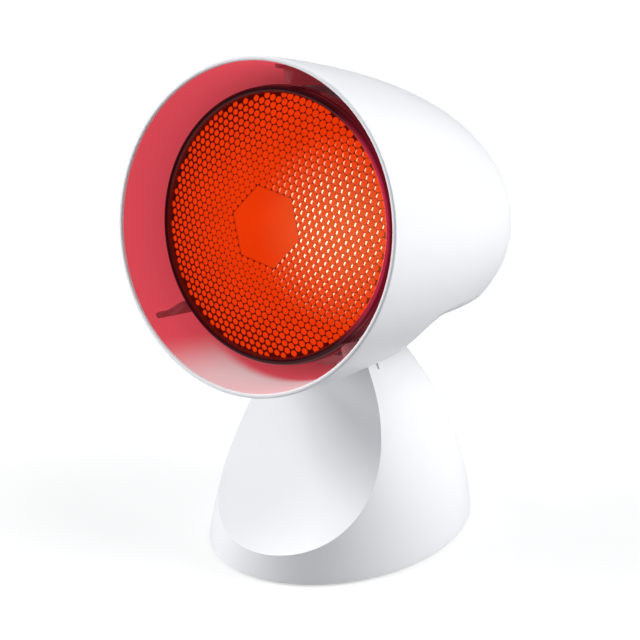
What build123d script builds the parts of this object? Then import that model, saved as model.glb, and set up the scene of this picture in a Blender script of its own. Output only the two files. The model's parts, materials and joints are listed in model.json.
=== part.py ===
from build123d import *
import math
import os

# Infrared heat therapy lamp. Millimetres, +Z up, the lamp shines towards -Y.
# The foot is laid out from its own middle and the head from the middle of its mouth, with the
# lamp axis along the head's own Z and the head's depths counted backwards from the rim plane.
# Every piece is moved by ORIGIN_Y on export, so that the origin is on the table under the
# middle of the whole lamp.

ORIGIN_Y = -8.83

# ---- foot and neck -------------------------------------------------------------------------
FOOT_HALF_WIDTH = 57.5
FOOT_FRONT = 73.3
FOOT_BACK = 73.6
SIDE_TAPER_HEIGHT = 136.0
SIDE_TAPER_POWER = 1.46
BACK_TAPER_HEIGHT = 121.0
BACK_TAPER_POWER = 1.95
FRONT_LEAN = 0.195
SECTION_HEIGHTS = (0.0, 12.0, 30.0, 50.0, 70.0, 90.0, 110.0)
SHELL_BOTTOM = 1.0
NECK_TOP = 88.0
BODY_WALL = 2.5
SCOOP_RADIUS = 87.9
SCOOP_Y = -104.5
SCOOP_Z = 93.7

# ---- bottom of the foot --------------------------------------------------------------------
PLATE_BOTTOM = 2.0
PLATE_THICKNESS = 2.5
PLATE_GAP = 0.3
PAD_RADIUS = 7.0
PAD_POCKET = 1.0
PAD_PLACES = ((-40.0, 2.0), (40.0, 2.0), (0.0, -58.0), (0.0, 58.0))
BOSS_RADIUS = 4.0
BOSS_PLACES = ((-24.0, -48.0), (24.0, -48.0), (-32.0, 38.0), (32.0, 38.0))
BALLAST_THICKNESS = 6.0
BALLAST_HALF_WIDTH = 28.0
BALLAST_FRONT = 36.0
BALLAST_BACK = 30.0
BALLAST_SCREW_X = 20.0

# ---- screws --------------------------------------------------------------------------------
SCREW_RADIUS = 1.5
SCREW_HEAD_RADIUS = 2.8
SCREW_HEAD_HEIGHT = 1.8
SCREW_LENGTH = 8.0
SHORT_SCREW = 6.0
SCREW_FIT = 0.2

# ---- tilt hinge ----------------------------------------------------------------------------
PIVOT_Y = 3.0
PIVOT_Z = 98.0
REST_TILT = 12.0
TILT_STEP = 9.0
TILT_STOPS = 5
PIN_RADIUS = 3.0
PIN_FIT = 0.05
PIN_HEAD_RADIUS = 5.0
PIN_HEAD_THICKNESS = 2.5
LUG_RADIUS = 7.5
LUG_THICKNESS = 2.0
LUG_INSIDE = 4.0
BRACKET_THICKNESS = 2.0
BRACKET_LENGTH = 26.0
WASHER_THICKNESS = 1.0
WASHER_RADIUS = 6.5
EAR_THICKNESS = 2.0
EAR_RADIUS = 8.0
HINGE_GAP = 0.3
DETENT_RADIUS = 6.0
DETENT_BALL = 0.5
DETENT_STANDOUT = 0.3
DETENT_GROOVE = 0.4
DETENT_GROOVE_HALF = 0.7
DETENT_SPOT = 0.42
DETENT_DEPTH = 0.8
PIN_END_RADIUS = 2.4
NUT_THICKNESS = 3.0
PIN_STANDOUT = 1.0
CHEEK_RADIUS = 10.0
CHEEK_ROOT = 13.0
CHEEK_GAP = 0.4
COLLAR_TOP = 93.0
COLLAR_BACK = 13.5
STRAP_FRONT = 76.0
STRAP_BEND = 106.0
STRAP_RISE_END = 118.0
STRAP_HALF_WIDTH = 16.0
LEAD_HOLE = 3.0
ANCHOR_LENGTH = 9.0

# ---- head shell ----------------------------------------------------------------------------
PIVOT_DEPTH = 84.0
PIVOT_RISE = 20.5
HEAD_RADIUS = 73.0
TAIL_ROOM = 13.9
HEAD_WALL = 2.0
TAPER_POWER = 1.45
ROUND_POWER = 3.1
TAIL_DROOP = 8.3
DROOP_POWER = 4
MOUTH_REACH = 3.4
DEPTH_SHARES = (-0.03, 0.0, 0.08, 0.18, 0.30, 0.42, 0.54, 0.66, 0.77, 0.86, 0.93, 0.97, 0.99)
CUT_RISE = 40.5
CUT_DEPTH = 60.0
CUT_CORNER = 14.0
TAIL_SLOTS = 5
TAIL_SLOT_HALF = 20.0
TAIL_SLOT_HEIGHT = 2.4
TAIL_SLOT_PITCH = 6.0
TAIL_SLOT_TOP = 14.0
TAIL_SLOT_REACH = 16.0

# ---- lower cover, recessed inside the head's cut -------------------------------------------
COVER_INSET = 5.0
COVER_WALL = 2.0
COVER_LAP = 4.0
COVER_FLANGE = 2.0
COVER_GAP = 0.3
COVER_SCREW_INSET = 37.0
COVER_SCREW_DEPTH = 112.0
COVER_BLOCK = 12.0
COVER_WELL = 3.4
NECK_SLOT_HALF = 28.0
NECK_SLOT_FRONT = 63.0
NECK_SLOT_BACK = 146.0
COVER_RAIL = 2.0

# ---- ribs that centre the bulb -------------------------------------------------------------
RIB_ANGLES = (90.0, 225.0, 315.0)
RIB_THICKNESS = 2.4
RIB_FRONT = 5.0
RIB_BACK = 44.0
RIB_LOW = 2.6
RIB_STEP = 7.5
BULB_FIT = 0.4

# ---- bulb: the common pressed-glass size, 122 mm across and 136 mm long ----------------------
BULB_RADIUS = 61.0
BULB_LENGTH = 136.0
BULB_DEPTH = 17.2
BAND_WIDTH = 7.0
GLASS_WALL = 3.0
LENS_RADIUS = 57.5
LENS_RISE = 8.2
LENS_THICKNESS = 4.0
BEAD_PITCH = 8.0
BEAD_HALF = 3.6
BEAD_TOP_HALF = 2.5
BEAD_RISE = 0.8
BEAD_SINK = 0.6
BEAD_ROWS = 15
LENS_BAND = 2.6
WINDOW_HALF = 16.1
REFLECTOR_STATIONS = ((57.0, 16.0), (47.0, 40.0), (33.5, 60.0), (23.0, 75.0), (18.0, 87.0))
BULB_NECK_RADIUS = 17.0
SKIRT_LENGTH = 8.0
CAP_RADIUS = 13.0
CAP_LENGTH = 21.0
CAP_WALL = 0.6
INSULATOR_LENGTH = 4.0
INSULATOR_RADIUS = 9.8
INSULATOR_TIP_RADIUS = 5.5
CAP_HOLE_RADIUS = 9.0
TIP_RADIUS = 4.7
TIP_THICKNESS = 2.0
TIP_TAPER = 1.5
FILAMENT_RADIUS = 7.0
FILAMENT_WIRE = 0.8
SUPPORT_WIRE = 0.9
STEM_FOOT = 2.0
STEM_RADIUS = 8.5
STEM_TIP_RADIUS = 3.5
STEM_SHOULDER = 4.0
STEM_LENGTH = 18.0
FILAMENT_SETBACK = 52.0

# ---- lampholder ----------------------------------------------------------------------------
HOLDER_RADIUS = 22.0
HOLDER_BACK_WALL = 14.0
SHELL_GAP = 0.3
SHELL_WALL = 0.6
CONTACT_GAP = 0.3
CONTACT_THICKNESS = 0.8
CONTACT_HALF_WIDTH = 4.0
HOLDER_SCREW_X = 10.0

# ---- carrier, shield and screws inside the head --------------------------------------------
STRAP_THICKNESS = 2.0
STRAP_RISE = 11.0
CARRIER_HALF_WIDTH = 29.0
CARRIER_WING_HALF_HEIGHT = 4.5
CARRIER_DROP = 26.0
CARRIER_TOP = 14.0
HEAD_BOSS_X = 26.0
HEAD_BOSS_Y = 0.0
HEAD_BOSS_RADIUS = 4.0
SHIELD_THICKNESS = 0.8
SHIELD_GAP = 3.3
SHIELD_FRONT = 44.0
SHIELD_RING = 14.6
SHIELD_SCREW_X = 18.1

# ---- rocker switch -------------------------------------------------------------------------
SWITCH_Z = 44.0
SWITCH_LEAN = 24.0
SWITCH_RECESS = 2.2
BEZEL_WIDTH = 15.0
BEZEL_HEIGHT = 21.0
BEZEL_THICKNESS = 1.6
SWITCH_WIDTH = 12.6
SWITCH_HEIGHT = 18.6
SWITCH_DEPTH = 12.0
ROCKER_WIDTH = 9.6
ROCKER_HEIGHT = 15.6
ROCKER_RADIUS = 8.6
ROCKER_GAP = 0.3
ROCKER_THROW = 16.0
ROCKER_SINK = 1.0
ROCKER_CREST = 3.9
ROCKER_DIP = 2.6
ROCKER_EDGE = 0.2
ROCKER_SKIRT = 0.5
ROCKER_KEEL = 4.0
ROCKER_KEEL_HALF = 3.0
BEZEL_CORNER = 1.5
STUB_RADIUS = 1.5
STUB_LENGTH = 0.9
TAB_LENGTH = 7.0
TAB_WIDTH = 4.8
TAB_THICKNESS = 0.8
TAB_PITCH = 7.0

# ---- cable gland, left empty ---------------------------------------------------------------
GLAND_Z = 17.0
GLAND_RECESS = 1.8
GLAND_RADIUS = 6.0
GLAND_BORE = 3.5
GLAND_FLANGE = 8.5
GLAND_FLANGE_THICKNESS = 2.4
GLAND_LENGTH = 13.0
GLAND_NUT_RADIUS = 8.5
GLAND_NUT_THICKNESS = 4.0

# ---- terminal block ------------------------------------------------------------------------
BLOCK_LENGTH = 22.0
BLOCK_WIDTH = 12.0
BLOCK_HEIGHT = 12.0
BLOCK_Y = 12.0
BLOCK_BORE = 1.8
BLOCK_BORE_RISE = 4.5
BLOCK_SCREW_X = 7.0
BLOCK_WELL = 4.0
BLOCK_FLOOR = 1.0
BLOCK_SCREW_RISE = 3.0

# ---- worked out from the sizes above -------------------------------------------------------
PLATE_TOP = PLATE_BOTTOM + PLATE_THICKNESS
BALLAST_TOP = PLATE_TOP + BALLAST_THICKNESS
BALLAST_Y = (BALLAST_BACK - BALLAST_FRONT) / 2
SCREW_HOLE = SCREW_RADIUS + SCREW_FIT
BULB_FRONT = BULB_DEPTH - LENS_RISE
TIP_DEPTH = BULB_FRONT + BULB_LENGTH
INSULATOR_BACK = TIP_DEPTH - TIP_THICKNESS
CAP_BACK = INSULATOR_BACK - INSULATOR_LENGTH
CAP_FRONT = CAP_BACK - CAP_LENGTH
SHELL_INSIDE = CAP_RADIUS + SHELL_GAP
SHELL_OUTSIDE = SHELL_INSIDE + SHELL_WALL
BORE_END = TIP_DEPTH + CONTACT_GAP + CONTACT_THICKNESS
HOLDER_FRONT = CAP_FRONT + 1.0
HOLDER_BORE = SHELL_OUTSIDE + SHELL_GAP
HOLDER_BACK = BORE_END + HOLDER_BACK_WALL
CARRIER_BACK = HOLDER_BACK + STRAP_THICKNESS
PIN_HOLE = PIN_RADIUS + PIN_FIT
HEAD_LENGTH = CARRIER_BACK + TAIL_ROOM
PIVOT_DROP = HEAD_RADIUS - PIVOT_RISE
CUT_DROP = HEAD_RADIUS - CUT_RISE
STRAP_DROP = PIVOT_DROP - STRAP_RISE
COVER_SCREW_X = HEAD_RADIUS - COVER_SCREW_INSET
LUG_OUTSIDE = LUG_INSIDE + LUG_THICKNESS
EAR_INSIDE = LUG_OUTSIDE + WASHER_THICKNESS + HINGE_GAP
EAR_OUTSIDE = EAR_INSIDE + EAR_THICKNESS
PIN_END = EAR_OUTSIDE + HINGE_GAP
PIN_TIP = PIN_END + NUT_THICKNESS + PIN_STANDOUT
CHEEK_INSIDE = PIN_TIP + CHEEK_GAP
BRACKET_TOP = NECK_TOP + BRACKET_THICKNESS
BRACKET_SCREW_Y = (PIVOT_Y - BRACKET_LENGTH / 2 + 4, PIVOT_Y + BRACKET_LENGTH / 2 - 4)
BLOCK_TOP = BALLAST_TOP + BLOCK_HEIGHT
LARGE = 400.0


# ---- shapes used by several pieces ---------------------------------------------------------
def half_width(height, inset=0.0):
    return FOOT_HALF_WIDTH * (1 - (height / SIDE_TAPER_HEIGHT) ** SIDE_TAPER_POWER) - inset


def back_reach(height, inset=0.0):
    return FOOT_BACK * (1 - (height / BACK_TAPER_HEIGHT) ** BACK_TAPER_POWER) - inset


def front_reach(height, inset=0.0):
    return FOOT_FRONT - FRONT_LEAN * height - inset


def foot_section(height, inset=0.0):
    back = back_reach(height, inset)
    front = front_reach(height, inset)
    middle = (back - front) / 2
    return Pos(0, middle, height) * Ellipse(half_width(height, inset), (back + front) / 2)


def foot_form(inset=0.0):
    """The foot before its front is scooped: ellipses that shrink and move forward with height."""
    return loft([foot_section(height, inset) for height in SECTION_HEIGHTS])


def scoop(wall=0.0):
    """The round tool, lying across the lamp, that hollows the foot's front."""
    return across(SCOOP_RADIUS + wall, -LARGE / 2, LARGE / 2, SCOOP_Y, SCOOP_Z)


def block(low, high):
    """A box between two opposite corners."""
    low, high = Vector(*low), Vector(*high)
    size = high - low
    return Pos(*((low + high) * 0.5)) * Box(size.X, size.Y, size.Z)


def upright(radius, bottom, top, x=0.0, y=0.0):
    return Pos(x, y, (bottom + top) / 2) * Cylinder(radius, top - bottom)


def along_axis(radius, front, back, x=0.0, y=0.0):
    """A round bar along the lamp axis between two depths of the head."""
    return upright(radius, -back, -front, x, y)


def across(radius, start, end, y=0.0, z=0.0):
    """A round bar along X."""
    return Pos((start + end) / 2, y, z) * Rot(0, 90, 0) * Cylinder(radius, end - start)


def both_sides(piece):
    return [piece, mirror(piece, Plane.YZ)]


def turned(profile):
    """A closed outline of (radius, depth) points, turned about the lamp axis."""
    outline = Polyline(*[(radius, 0, -depth) for radius, depth in profile], close=True)
    return revolve(make_face(outline), Axis.Z)


def strip(points, thickness):
    """The outline of a bent sheet: a line of points, thickened towards its left side."""
    spots = [Vector(*point) for point in points]
    sides = []
    for start, end in zip(spots, spots[1:]):
        run = (end - start).normalized()
        sides.append(Vector(-run.Y, run.X))
    far = []
    for spot, before, after in zip(spots, sides[:1] + sides, sides + sides[-1:]):
        mitre = before + after
        far.append(spot + mitre * (2 * thickness / mitre.dot(mitre)))
    return [(spot.X, spot.Y) for spot in spots + far[::-1]]


def head_radius(depth, inset=0.0):
    share = max(depth, 0) / HEAD_LENGTH
    return HEAD_RADIUS * (1 - share ** TAPER_POWER) ** (1 / ROUND_POWER) - inset


def head_droop(depth):
    return TAIL_DROOP * (depth / HEAD_LENGTH) ** DROOP_POWER


def head_form(inset=0.0):
    """The head's egg: circles that shrink and sink towards the tail, closed at a point."""
    sections = []
    for share in DEPTH_SHARES:
        depth = share * HEAD_LENGTH
        place = Pos(0, -head_droop(depth), -share * (HEAD_LENGTH - inset))
        sections.append(place * Circle(head_radius(depth, inset)))
    tip = Vertex(0, -TAIL_DROOP, inset - HEAD_LENGTH)
    return loft(sections + [tip])


def mouth_cut():
    """The mouth's plane, through the top of the rim; the lower lip stands MOUTH_REACH further out."""
    lean = math.degrees(math.atan(MOUTH_REACH / (2 * HEAD_RADIUS)))
    return Pos(0, HEAD_RADIUS, 0) * Rot(-lean, 0, 0) * upright(LARGE, 0, LARGE)


def head_cut(grow=0.0):
    """What the head lacks under its rear, so that it can tilt about the neck."""
    top = CUT_DROP - grow
    front = CUT_DEPTH - grow
    tool = block((-LARGE, -LARGE, -LARGE), (LARGE, -top, -front))
    corner = tool.edges().filter_by(Axis.X).sort_by(Axis.Y)[-2:].sort_by(Axis.Z)[-1]
    return fillet(corner, CUT_CORNER + grow)


def head_place():
    """Where the head's own frame stands at rest."""
    lean = math.radians(REST_TILT)
    rim_y = PIVOT_Y + PIVOT_DROP * math.sin(lean) - PIVOT_DEPTH * math.cos(lean)
    rim_z = PIVOT_Z + PIVOT_DROP * math.cos(lean) + PIVOT_DEPTH * math.sin(lean)
    return Location((0, rim_y, rim_z), (90 - REST_TILT, 0, 0))


def screw(length=SCREW_LENGTH):
    """A pan-head screw standing on its tip, the underside of its head at the origin."""
    head = upright(SCREW_HEAD_RADIUS, 0, SCREW_HEAD_HEIGHT)
    head = fillet(head.edges().sort_by(Axis.Z)[-1], SCREW_HEAD_HEIGHT / 2)
    slot = Pos(0, 0, SCREW_HEAD_HEIGHT) * Box(2 * SCREW_HEAD_RADIUS, 0.6, 1.2)
    return head - slot + upright(SCREW_RADIUS, -length, 0)


def screws(places, length=SCREW_LENGTH):
    return [place * screw(length) for place in places]


UPSIDE_DOWN = Rot(180, 0, 0)


# ---- foot ----------------------------------------------------------------------------------
def switch_place():
    middle = (0, back_reach(SWITCH_Z) - SWITCH_RECESS, SWITCH_Z)
    return Location(middle, (SWITCH_LEAN - 90, 0, 0))


def gland_place():
    return Location((0, back_reach(GLAND_Z) - GLAND_RECESS, GLAND_Z), (-90, 0, 0))


def shell_hollow():
    hollow = (foot_form(BODY_WALL) - scoop(BODY_WALL))
    hollow = hollow & block((-LARGE, -LARGE, -LARGE), (LARGE, LARGE, NECK_TOP - BODY_WALL))
    posts = [upright(BOSS_RADIUS, PLATE_TOP, NECK_TOP, x, y) for x, y in BOSS_PLACES]
    anchors = [upright(BOSS_RADIUS, NECK_TOP - ANCHOR_LENGTH, NECK_TOP, 0, y) for y in BRACKET_SCREW_Y]
    switch_pad = switch_place() * Pos(0, 0, -BODY_WALL) * Box(
        BEZEL_WIDTH + 4, BEZEL_HEIGHT + 4, 2 * BODY_WALL)
    gland_pad = gland_place() * upright(GLAND_FLANGE + 1, -BODY_WALL, BODY_WALL)
    return hollow - posts - anchors - switch_pad - gland_pad


def neck_cheek():
    """A rounded upright on the neck's top that covers one end of the hinge."""
    drum = Pos(PIVOT_Y, PIVOT_Z) * Circle(CHEEK_RADIUS)
    root = Line((PIVOT_Y - CHEEK_ROOT, NECK_TOP - BODY_WALL), (PIVOT_Y + CHEEK_ROOT, NECK_TOP - BODY_WALL))
    side = Plane.YZ * make_hull(drum.edges() + [root])
    return Pos(CHEEK_INSIDE, 0, 0) * extrude(side, FOOT_HALF_WIDTH) & foot_form()


def neck_collar(form):
    """The neck's front edge, raised in front of the hinge so that the head covers its top."""
    return form & block((-LARGE, -LARGE, NECK_TOP - BODY_WALL), (LARGE, PIVOT_Y - COLLAR_BACK, COLLAR_TOP))


def base_shell():
    form = foot_form() - scoop()
    outer = form & block((-LARGE, -LARGE, SHELL_BOTTOM), (LARGE, LARGE, NECK_TOP))
    outer = outer + both_sides(neck_cheek()) + neck_collar(form)
    switch_seat = switch_place() * block(
        (-BEZEL_WIDTH / 2 - PLATE_GAP, -BEZEL_HEIGHT / 2 - PLATE_GAP, 0),
        (BEZEL_WIDTH / 2 + PLATE_GAP, BEZEL_HEIGHT / 2 + PLATE_GAP, 4 * BEZEL_THICKNESS))
    window = switch_place() * Box(SWITCH_WIDTH + PLATE_GAP, SWITCH_HEIGHT + PLATE_GAP, 6 * BODY_WALL)
    flange_seat = gland_place() * upright(GLAND_FLANGE + PLATE_GAP, 0, 4 * GLAND_FLANGE_THICKNESS)
    gland_hole = gland_place() * Cylinder(GLAND_RADIUS + PLATE_GAP, 6 * BODY_WALL)
    pilots = [upright(SCREW_HOLE, 0, PLATE_TOP + SCREW_LENGTH, x, y) for x, y in BOSS_PLACES]
    anchor_pilots = [upright(SCREW_HOLE, NECK_TOP - SCREW_LENGTH, LARGE, 0, y) for y in BRACKET_SCREW_Y]
    lead_hole = upright(LEAD_HOLE, NECK_TOP - ANCHOR_LENGTH, LARGE, 0, PIVOT_Y)
    shell = outer - shell_hollow() - switch_seat - window - flange_seat - gland_hole
    return shell - pilots - anchor_pilots - lead_hole


def bottom_plate():
    section = foot_section(PLATE_TOP, BODY_WALL + PLATE_GAP)
    plate = extrude(section, -PLATE_THICKNESS)
    pockets = [upright(PAD_RADIUS + PLATE_GAP, 0, PLATE_BOTTOM + PAD_POCKET, x, y) for x, y in PAD_PLACES]
    holes = [upright(SCREW_HOLE, 0, LARGE, x, y) for x, y in BOSS_PLACES]
    ballast_pilots = [upright(SCREW_HOLE, PLATE_TOP - 2.2, LARGE, x, BALLAST_Y)
                      for x in (-BALLAST_SCREW_X, BALLAST_SCREW_X)]
    return plate - pockets - holes - ballast_pilots


def foot_pads():
    pad = fillet(upright(PAD_RADIUS, 0, PLATE_BOTTOM + PAD_POCKET).edges().sort_by(Axis.Z)[0], 0.6)
    return [Pos(x, y, 0) * pad for x, y in PAD_PLACES]


def bottom_screws():
    return screws([Pos(x, y, PLATE_BOTTOM) * UPSIDE_DOWN for x, y in BOSS_PLACES])


def ballast_places():
    return [Pos(x, BALLAST_Y, BALLAST_TOP) for x in (-BALLAST_SCREW_X, BALLAST_SCREW_X)]


def ballast_plate():
    plate = block((-BALLAST_HALF_WIDTH, -BALLAST_FRONT, PLATE_TOP),
                  (BALLAST_HALF_WIDTH, BALLAST_BACK, BALLAST_TOP))
    plate = fillet(plate.edges().filter_by(Axis.Z), 6)
    holes = [place * Cylinder(SCREW_HOLE, LARGE) for place in ballast_places()]
    block_pilot = upright(SCREW_HOLE, PLATE_TOP + 1, LARGE, 0, BLOCK_Y)
    return plate - holes - block_pilot


def ballast_screws():
    return screws(ballast_places())


def terminal_block():
    body = block((-BLOCK_LENGTH / 2, BLOCK_Y - BLOCK_WIDTH / 2, BALLAST_TOP),
                 (BLOCK_LENGTH / 2, BLOCK_Y + BLOCK_WIDTH / 2, BLOCK_TOP))
    cuts = []
    for x in (-BLOCK_SCREW_X, BLOCK_SCREW_X):
        cuts.append(upright(SCREW_HEAD_RADIUS + PLATE_GAP, BLOCK_TOP - BLOCK_WELL, LARGE, x, BLOCK_Y))
        cuts.append(upright(SCREW_HOLE, BALLAST_TOP + BLOCK_FLOOR, LARGE, x, BLOCK_Y))
        bore = Pos(x, BLOCK_Y, BALLAST_TOP + BLOCK_BORE_RISE) * Rot(90, 0, 0)
        cuts.append(bore * Cylinder(BLOCK_BORE, LARGE))
    cuts.append(upright(SCREW_HEAD_RADIUS + PLATE_GAP, BALLAST_TOP + BLOCK_SCREW_RISE, LARGE, 0, BLOCK_Y))
    cuts.append(upright(SCREW_HOLE, 0, LARGE, 0, BLOCK_Y))
    return body - cuts


def terminal_screws():
    return screws([Pos(x, BLOCK_Y, BLOCK_TOP - BLOCK_WELL) for x in (-BLOCK_SCREW_X, BLOCK_SCREW_X)],
                  SHORT_SCREW)


def block_screw():
    return screws([Pos(0, BLOCK_Y, BALLAST_TOP + BLOCK_SCREW_RISE)])


# ---- rocker switch -------------------------------------------------------------------------
def rocker_axis():
    return switch_place() * Pos(0, 0, -ROCKER_SINK)


def switch_housing():
    bezel = block((-BEZEL_WIDTH / 2, -BEZEL_HEIGHT / 2, 0),
                  (BEZEL_WIDTH / 2, BEZEL_HEIGHT / 2, BEZEL_THICKNESS))
    bezel = fillet(bezel.edges().filter_by(Axis.Z), BEZEL_CORNER)
    body = block((-SWITCH_WIDTH / 2, -SWITCH_HEIGHT / 2, -SWITCH_DEPTH),
                 (SWITCH_WIDTH / 2, SWITCH_HEIGHT / 2, 0))
    well_half = ROCKER_WIDTH / 2 + ROCKER_GAP
    well = across(ROCKER_RADIUS + ROCKER_GAP, -well_half, well_half, 0, -ROCKER_SINK)
    stub_end = ROCKER_WIDTH / 2 + STUB_LENGTH + PLATE_GAP / 2
    stub_holes = across(STUB_RADIUS + PIN_FIT, -stub_end, stub_end, 0, -ROCKER_SINK)
    return switch_place() * (bezel + body - well - stub_holes)


def switch_rocker():
    half = ROCKER_HEIGHT / 2
    crest = half - ROCKER_EDGE
    outline = [(-crest, ROCKER_CREST), (0, ROCKER_DIP), (crest, ROCKER_CREST), (half, -ROCKER_SKIRT),
               (ROCKER_KEEL_HALF, -ROCKER_KEEL), (-ROCKER_KEEL_HALF, -ROCKER_KEEL), (-half, -ROCKER_SKIRT)]
    face = Plane.YZ * make_face(Polyline(*outline, close=True))
    paddle = extrude(face, ROCKER_WIDTH / 2, both=True)
    stubs = across(STUB_RADIUS, -ROCKER_WIDTH / 2 - STUB_LENGTH, ROCKER_WIDTH / 2 + STUB_LENGTH)
    return rocker_axis() * Rot(ROCKER_THROW / 2, 0, 0) * (paddle + stubs)


def switch_terminals():
    tab = block((-TAB_WIDTH / 2, -TAB_THICKNESS / 2, -SWITCH_DEPTH - TAB_LENGTH),
                (TAB_WIDTH / 2, TAB_THICKNESS / 2, -SWITCH_DEPTH))
    return [switch_place() * Pos(0, y, 0) * tab for y in (-TAB_PITCH / 2, TAB_PITCH / 2)]


# ---- cable gland ---------------------------------------------------------------------------
def cable_gland():
    flange = upright(GLAND_FLANGE, 0, GLAND_FLANGE_THICKNESS)
    flange = fillet(flange.edges().sort_by(Axis.Z)[-1], 1.0)
    tube = upright(GLAND_RADIUS, -GLAND_LENGTH, 0)
    return gland_place() * (flange + tube - Cylinder(GLAND_BORE, LARGE))


def gland_nut():
    nut = upright(GLAND_NUT_RADIUS, -BODY_WALL - GLAND_NUT_THICKNESS, -BODY_WALL)
    six_flats = extrude(RegularPolygon(GLAND_NUT_RADIUS, 6), LARGE, both=True)
    return gland_place() * ((nut & six_flats) - Cylinder(GLAND_RADIUS + PLATE_GAP, LARGE))


# ---- tilt hinge ----------------------------------------------------------------------------
def neck_bracket():
    foot = block((-LUG_OUTSIDE, PIVOT_Y - BRACKET_LENGTH / 2, NECK_TOP),
                 (LUG_OUTSIDE, PIVOT_Y + BRACKET_LENGTH / 2, BRACKET_TOP))
    lug = block((LUG_INSIDE, PIVOT_Y - LUG_RADIUS, NECK_TOP), (LUG_OUTSIDE, PIVOT_Y + LUG_RADIUS, PIVOT_Z))
    lug = lug + across(LUG_RADIUS, LUG_INSIDE, LUG_OUTSIDE, PIVOT_Y, PIVOT_Z)
    holes = [upright(SCREW_HOLE, 0, LARGE, 0, y) for y in BRACKET_SCREW_Y]
    lead_hole = upright(LEAD_HOLE, 0, LARGE, 0, PIVOT_Y)
    pin_hole = across(PIN_HOLE, -LARGE / 2, LARGE / 2, PIVOT_Y, PIVOT_Z)
    return foot + both_sides(lug) - holes - lead_hole - pin_hole


def bracket_screws():
    return screws([Pos(0, y, BRACKET_TOP) for y in BRACKET_SCREW_Y])


def tilt_pin():
    stem = across(PIN_RADIUS, -PIN_END, PIN_END, PIVOT_Y, PIVOT_Z)
    end = across(PIN_END_RADIUS, PIN_END, PIN_TIP, PIVOT_Y, PIVOT_Z)
    head = across(PIN_HEAD_RADIUS, -PIN_END - PIN_HEAD_THICKNESS, -PIN_END, PIVOT_Y, PIVOT_Z)
    return stem + end + head


def pin_nut():
    hexagon = extrude(RegularPolygon(PIN_HEAD_RADIUS, 6), NUT_THICKNESS)
    nut = Pos(PIN_END, PIVOT_Y, PIVOT_Z) * Rot(0, 90, 0) * hexagon
    return nut - across(PIN_END_RADIUS + SCREW_FIT, 0, LARGE / 2, PIVOT_Y, PIVOT_Z)


def friction_washer():
    disc = across(WASHER_RADIUS, -LUG_OUTSIDE - WASHER_THICKNESS, -LUG_OUTSIDE, PIVOT_Y, PIVOT_Z)
    return disc - across(PIN_HOLE, -LARGE / 2, 0, PIVOT_Y, PIVOT_Z)


def detent_spring():
    face = LUG_OUTSIDE + WASHER_THICKNESS
    disc = across(LUG_RADIUS, LUG_OUTSIDE, face, PIVOT_Y, PIVOT_Z)
    tail = block((LUG_OUTSIDE, PIVOT_Y - 4, BRACKET_TOP), (face, PIVOT_Y + 4, PIVOT_Z))
    nose_x = face + HINGE_GAP + DETENT_STANDOUT - DETENT_BALL
    nose = Pos(nose_x, PIVOT_Y, PIVOT_Z + DETENT_RADIUS) * Sphere(DETENT_BALL)
    return disc + tail + nose - across(PIN_HOLE, 0, LARGE / 2, PIVOT_Y, PIVOT_Z)


# ---- head shell ----------------------------------------------------------------------------
def rib(angle):
    """A gusset that stands in from the wall and steps up to the bulb's rim."""
    low = HEAD_RADIUS - HEAD_WALL - RIB_LOW
    high = BULB_RADIUS + BULB_FIT
    rise = RIB_FRONT + RIB_STEP / 2
    top = rise + RIB_STEP
    edge = [
        Line((HEAD_RADIUS, RIB_FRONT - RIB_LOW), (low, RIB_FRONT)),
        Line((low, RIB_FRONT), (low, rise)),
        Spline((low, rise), (high, top), tangents=((0, 1), (0, 1))),
        Line((high, top), (high, RIB_BACK)),
        Line((high, RIB_BACK), (HEAD_RADIUS, RIB_BACK + high - low)),
        Line((HEAD_RADIUS, RIB_BACK + high - low), (HEAD_RADIUS, RIB_FRONT - RIB_LOW)),
    ]
    plate = extrude(make_face(edge), RIB_THICKNESS / 2, both=True)
    return Rot(0, 0, angle) * Rot(-90, 0, 0) * plate


def cover_block():
    """Where the lower cover is screwed to the head's side wall."""
    half = COVER_BLOCK / 2
    bottom = COVER_FLANGE - CUT_DROP
    return block((COVER_SCREW_X - half, bottom, -COVER_SCREW_DEPTH - half),
                 (HEAD_RADIUS, bottom + COVER_BLOCK, half - COVER_SCREW_DEPTH))


def cover_screw_places():
    y = -CUT_DROP
    return [Location((x, y, -COVER_SCREW_DEPTH), (90, 0, 0)) for x in (-COVER_SCREW_X, COVER_SCREW_X)]


def tail_slots():
    slot = block((-TAIL_SLOT_HALF, -TAIL_SLOT_HEIGHT / 2, -LARGE),
                 (TAIL_SLOT_HALF, TAIL_SLOT_HEIGHT / 2, TAIL_SLOT_REACH - HEAD_LENGTH))
    return [Pos(0, TAIL_SLOT_TOP - number * TAIL_SLOT_PITCH, 0) * slot for number in range(TAIL_SLOTS)]


def head_screw_places():
    return [Pos(x, HEAD_BOSS_Y, -HOLDER_BACK) for x in (-HEAD_BOSS_X, HEAD_BOSS_X)]


def head_shell():
    outer = head_form()
    hollow = head_form(HEAD_WALL)
    bosses = [along_axis(HEAD_BOSS_RADIUS, CARRIER_BACK, HEAD_LENGTH, x, HEAD_BOSS_Y)
              for x in (-HEAD_BOSS_X, HEAD_BOSS_X)]
    ribs = [rib(angle) for angle in RIB_ANGLES]
    hollow = hollow - bosses - ribs - both_sides(cover_block())
    shell = outer - hollow - head_cut() - mouth_cut() - tail_slots()
    pilots = [place * Cylinder(SCREW_HOLE, 2 * SHORT_SCREW + 1) for place in head_screw_places()]
    pilots += [place * Cylinder(SCREW_HOLE, 2 * SCREW_LENGTH + 1) for place in cover_screw_places()]
    shell = shell - pilots
    return head_place() * shell


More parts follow.
